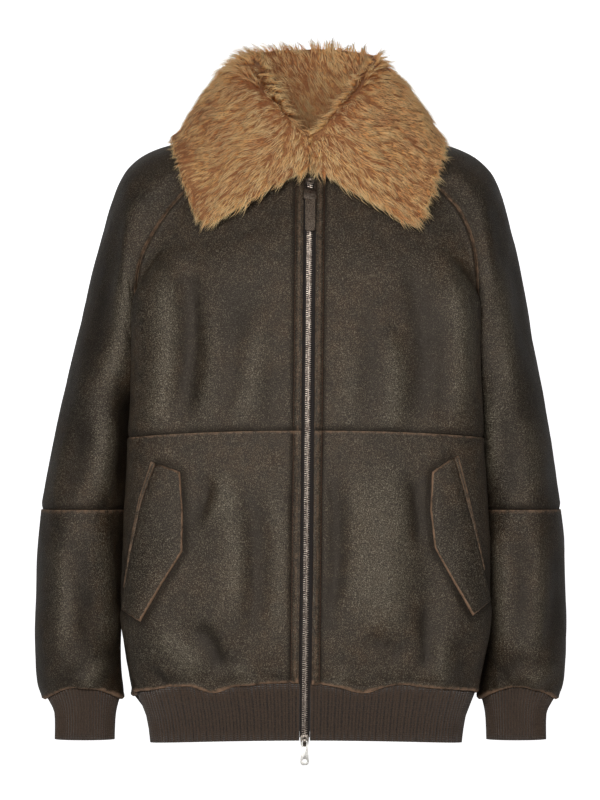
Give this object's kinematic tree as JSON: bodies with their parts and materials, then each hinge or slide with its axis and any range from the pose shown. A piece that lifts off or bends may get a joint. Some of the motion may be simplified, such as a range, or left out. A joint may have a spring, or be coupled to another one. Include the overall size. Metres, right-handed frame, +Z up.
{
  "type": "shearling bomber jacket",
  "caption": "Distressed dark brown shearling bomber jacket with a large fur collar, two-way zip, raglan sleeves and knitted hem and cuffs, filled out with no wearer.",
  "frame": {"origin": "inside the neck, level with the shoulders, on the middle plane", "axes": "+Z up along the jacket, -Y out of the front with the zip, +X towards the wearer's left sleeve"},
  "size_m": [0.626, 0.3105, 0.8418],
  "materials": {
    "hide": "distressed satin outside, clipped wool inside",
    "wool": "long clumped caramel shearling",
    "knit": "rib knit wool",
    "tape": "woven",
    "steel": "aged bright metal",
    "gunmetal": "worn dark metal",
    "tab_leather": "matte taupe"
  },
  "bodies": {
    "jacket": {"front_upper_R": "hide", "front_upper_L": "hide", "front_lower_R": "hide", "front_lower_L": "hide", "back_upper": "hide", "back_lower": "hide", "sleeve_upper_R": "hide", "sleeve_upper_L": "hide", "sleeve_lower_R": "hide", "sleeve_lower_L": "hide", "cuff_R": "knit", "cuff_L": "knit", "hem_rib": "knit", "collar_fur": "wool", "pocket_flap_R": "hide", "pocket_flap_L": "hide", "pocket_welt_R": "hide", "pocket_welt_L": "hide", "zip_tape_R": "tape", "zip_tape_L": "tape", "zip_chain": "steel", "zip_slider_upper": "gunmetal", "zip_slider_lower": "steel"},
    "upper_pull": {"upper_pull": "gunmetal", "upper_pull_tab": "tab_leather"},
    "lower_pull": {"lower_pull": "steel"}
  },
  "joints": [
    {"name": "upper_pull_swing", "type": "hinge", "parent": "jacket", "child": "upper_pull", "pos_m": [0.00495, -0.0876, -0.034], "axis": [-1, 0, 0], "range_deg": [0, 75]},
    {"name": "lower_pull_swing", "type": "hinge", "parent": "jacket", "child": "lower_pull", "pos_m": [-0.00172, -0.1355, -0.688], "axis": [-1, 0, 0], "range_deg": [0, 150]}
  ]
}
